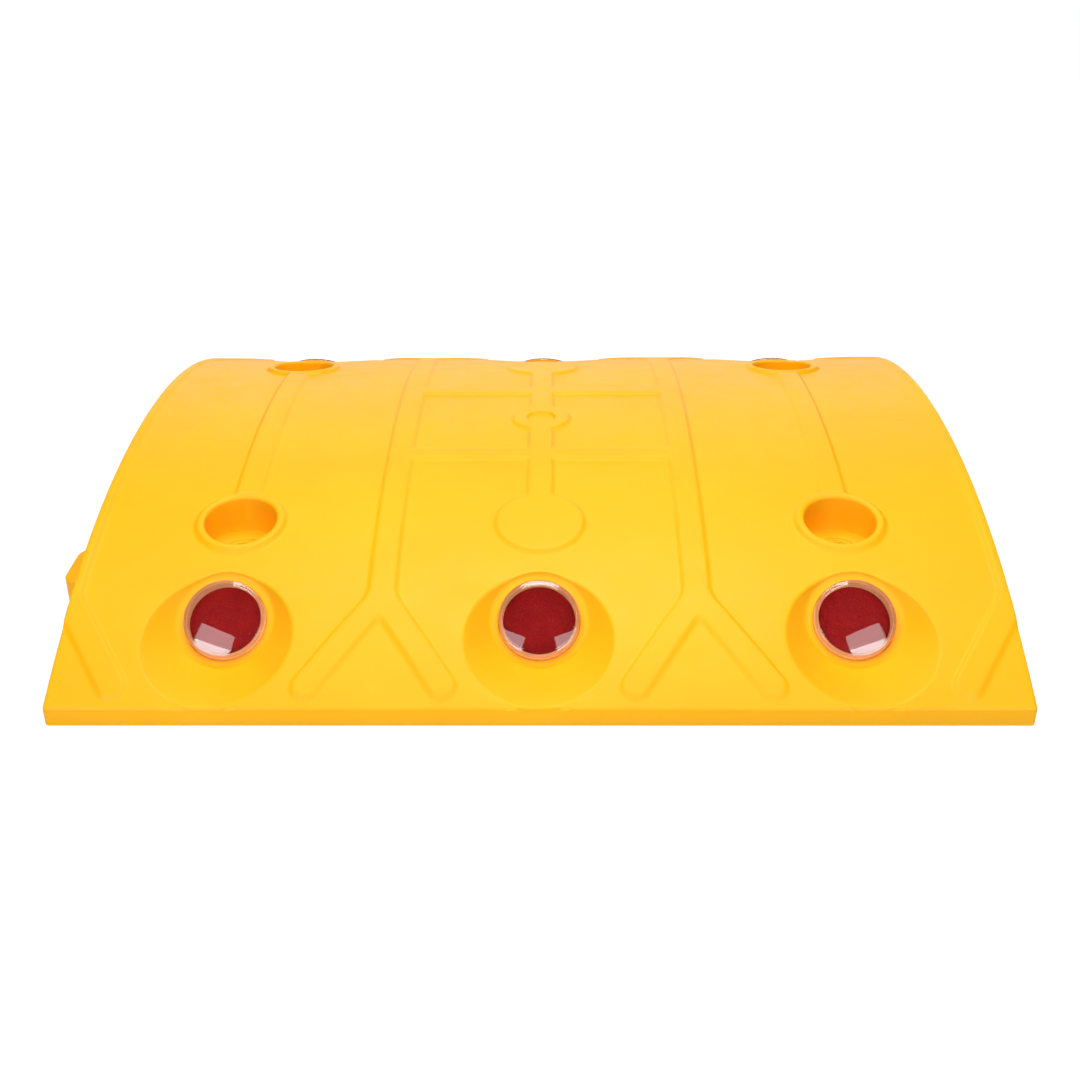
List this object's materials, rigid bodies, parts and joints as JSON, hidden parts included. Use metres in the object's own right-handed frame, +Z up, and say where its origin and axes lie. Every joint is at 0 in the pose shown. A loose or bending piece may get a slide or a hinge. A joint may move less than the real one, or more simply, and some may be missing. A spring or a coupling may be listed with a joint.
{
  "type": "road hump module",
  "caption": "Hollow moulded road hump module with raised ribs, counterbored anchor holes, butting tongues and sockets, and recessed reflectors facing both ways.",
  "frame": {"origin": "middle of the 500 x 480 mm footprint, on the plane that rests on the road", "axes": "+X along the hump, across the road; +Y in the travel direction; +Z up"},
  "size_m": [0.518, 0.48, 0.0667],
  "materials": {
    "yellow_moulding": "satin moulded polymer, coloured through",
    "clear_lens": "clear moulded plastic, polished",
    "red_film": "red retroreflective sheeting",
    "cream_backing": "cream moulded plastic",
    "foam_tape": "grey-white foam tape"
  },
  "bodies": {
    "root": {"hump_body": "yellow_moulding", "adhesive_pad_front_left": "foam_tape", "backing_disc_front_left": "cream_backing", "red_film_front_left": "red_film", "lens_front_left": "clear_lens", "adhesive_pad_front_middle": "foam_tape", "backing_disc_front_middle": "cream_backing", "red_film_front_middle": "red_film", "lens_front_middle": "clear_lens", "adhesive_pad_front_right": "foam_tape", "backing_disc_front_right": "cream_backing", "red_film_front_right": "red_film", "lens_front_right": "clear_lens", "adhesive_pad_rear_left": "foam_tape", "backing_disc_rear_left": "cream_backing", "red_film_rear_left": "red_film", "lens_rear_left": "clear_lens", "adhesive_pad_rear_middle": "foam_tape", "backing_disc_rear_middle": "cream_backing", "red_film_rear_middle": "red_film", "lens_rear_middle": "clear_lens", "adhesive_pad_rear_right": "foam_tape", "backing_disc_rear_right": "cream_backing", "red_film_rear_right": "red_film", "lens_rear_right": "clear_lens"}
  },
  "joints": []
}
